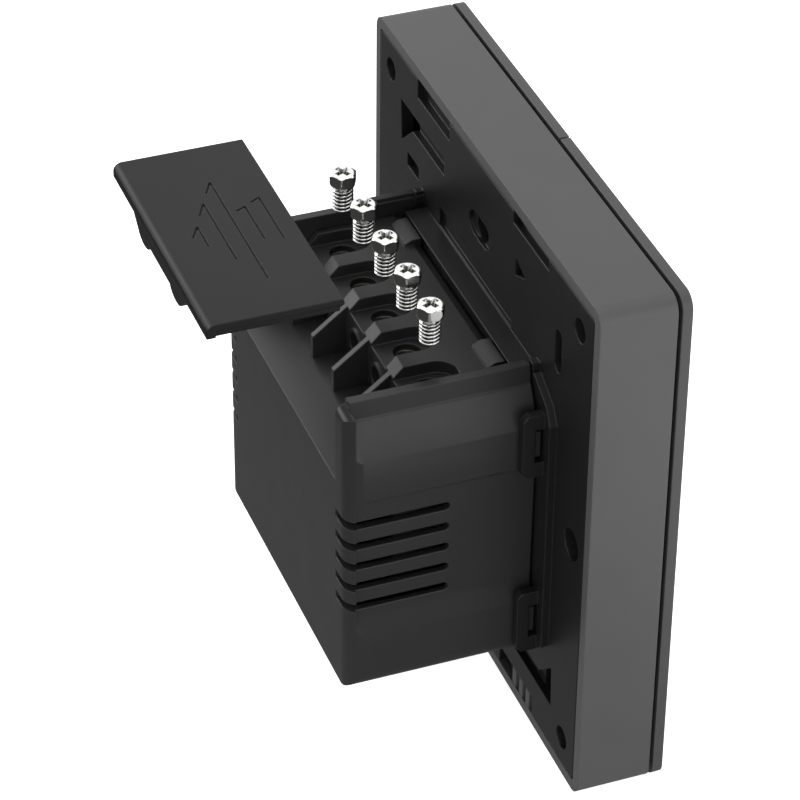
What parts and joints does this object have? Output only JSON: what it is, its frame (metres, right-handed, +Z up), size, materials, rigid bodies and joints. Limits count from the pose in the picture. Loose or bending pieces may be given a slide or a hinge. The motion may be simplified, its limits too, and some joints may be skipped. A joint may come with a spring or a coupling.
{
  "type": "smart light switch",
  "caption": "Two-key smart wall switch: square plate with a plug-in module behind, its terminal cover drawn off and its terminal screws backed out.",
  "frame": {"origin": "centre of the plate on the wall face, midway between the two wall screws", "axes": "+Y into the wall, away from the keys; +Z up; +X along the plate's width"},
  "size_m": [0.086, 0.0616, 0.086],
  "materials": {
    "frame_plastic": "fine satin moulded, mid grey",
    "key_plastic": "fine satin moulded, mid grey",
    "panel_plastic": "fine texture, charcoal",
    "housing_plastic": "fine texture, charcoal",
    "terminal_plastic": "fine texture, charcoal",
    "cover_plastic": "fine texture, charcoal",
    "inner_plastic": "plain moulded",
    "screw_metal": "bright plated",
    "fixing_metal": "zinc plated",
    "brass": "tinned brass",
    "circuit_board": "solder mask",
    "shield_can": "tinned steel",
    "relay_case": "smooth",
    "ferrite": "ferrite and tape",
    "capacitor_sleeve": "shrink sleeve",
    "film_case": "smooth",
    "disc_coating": "epoxy",
    "clear_plastic": "clear"
  },
  "bodies": {
    "base": {"front_frame": "frame_plastic", "key_carrier": "inner_plastic", "control_board": "circuit_board", "wireless_module": "shield_can", "status_leds": "clear_plastic", "tact_switch_left": "inner_plastic", "tact_switch_right": "inner_plastic", "light_pipe_left": "clear_plastic", "light_pipe_right": "clear_plastic", "back_panel": "panel_plastic", "panel_screws": "fixing_metal", "board_header": "inner_plastic", "power_board": "circuit_board", "board_screws": "fixing_metal", "relay_left": "relay_case", "relay_right": "relay_case", "transformer": "ferrite", "bulk_capacitor": "capacitor_sleeve", "film_capacitor": "film_case", "varistor": "disc_coating", "fuse": "film_case", "rear_housing": "housing_plastic", "terminal_block": "terminal_plastic", "terminal_clamp_1": "brass", "terminal_clamp_2": "brass", "terminal_clamp_3": "brass", "terminal_clamp_4": "brass", "terminal_clamp_5": "brass"},
    "key_left": {"key_left": "key_plastic"},
    "key_right": {"key_right": "key_plastic"},
    "plunger_left": {"tact_plunger_left": "clear_plastic"},
    "plunger_right": {"tact_plunger_right": "clear_plastic"},
    "cover": {"terminal_cover": "cover_plastic"},
    "screw_1": {"terminal_screw_1": "screw_metal"},
    "screw_2": {"terminal_screw_2": "screw_metal"},
    "screw_3": {"terminal_screw_3": "screw_metal"},
    "screw_4": {"terminal_screw_4": "screw_metal"},
    "screw_5": {"terminal_screw_5": "screw_metal"}
  },
  "joints": [
    {"name": "key_left_hinge", "type": "hinge", "parent": "base", "child": "key_left", "pos_m": [0, -0.0108, 0.0355], "axis": [1, 0, 0], "range_deg": [0, 0.4], "stiffness_Nm_per_rad": 12, "springref_deg": -0.17},
    {"name": "plunger_left_slide", "type": "slide", "parent": "base", "child": "plunger_left", "axis": [0, 1, 0], "range_m": [0, 0.00045]},
    {"name": "key_right_hinge", "type": "hinge", "parent": "base", "child": "key_right", "pos_m": [0, -0.0108, 0.0355], "axis": [1, 0, 0], "range_deg": [0, 0.4], "stiffness_Nm_per_rad": 12, "springref_deg": -0.17},
    {"name": "plunger_right_slide", "type": "slide", "parent": "base", "child": "plunger_right", "axis": [0, 1, 0], "range_m": [0, 0.00045]},
    {"name": "cover_slide", "type": "slide", "parent": "base", "child": "cover", "axis": [0, -0.7653, -0.6437], "range_m": [0, 0.02548]},
    {"name": "screw_1_slide", "type": "slide", "parent": "base", "child": "screw_1", "axis": [0, 0, -1], "range_m": [0, 0.0122]},
    {"name": "screw_2_slide", "type": "slide", "parent": "base", "child": "screw_2", "axis": [0, 0, -1], "range_m": [0, 0.0122]},
    {"name": "screw_3_slide", "type": "slide", "parent": "base", "child": "screw_3", "axis": [0, 0, -1], "range_m": [0, 0.0122]},
    {"name": "screw_4_slide", "type": "slide", "parent": "base", "child": "screw_4", "axis": [0, 0, -1], "range_m": [0, 0.0122]},
    {"name": "screw_5_slide", "type": "slide", "parent": "base", "child": "screw_5", "axis": [0, 0, -1], "range_m": [0, 0.0122]}
  ],
  "couplings": [
    {"joint": "plunger_left_slide", "follows": "key_left_hinge", "m_per_rad": 0.0575},
    {"joint": "plunger_right_slide", "follows": "key_right_hinge", "m_per_rad": 0.0575},
    {"joint": "screw_1_slide", "follows": "cover_slide", "ratio": 0.47881},
    {"joint": "screw_2_slide", "follows": "cover_slide", "ratio": 0.47881},
    {"joint": "screw_3_slide", "follows": "cover_slide", "ratio": 0.47881},
    {"joint": "screw_4_slide", "follows": "cover_slide", "ratio": 0.47881},
    {"joint": "screw_5_slide", "follows": "cover_slide", "ratio": 0.47881}
  ]
}
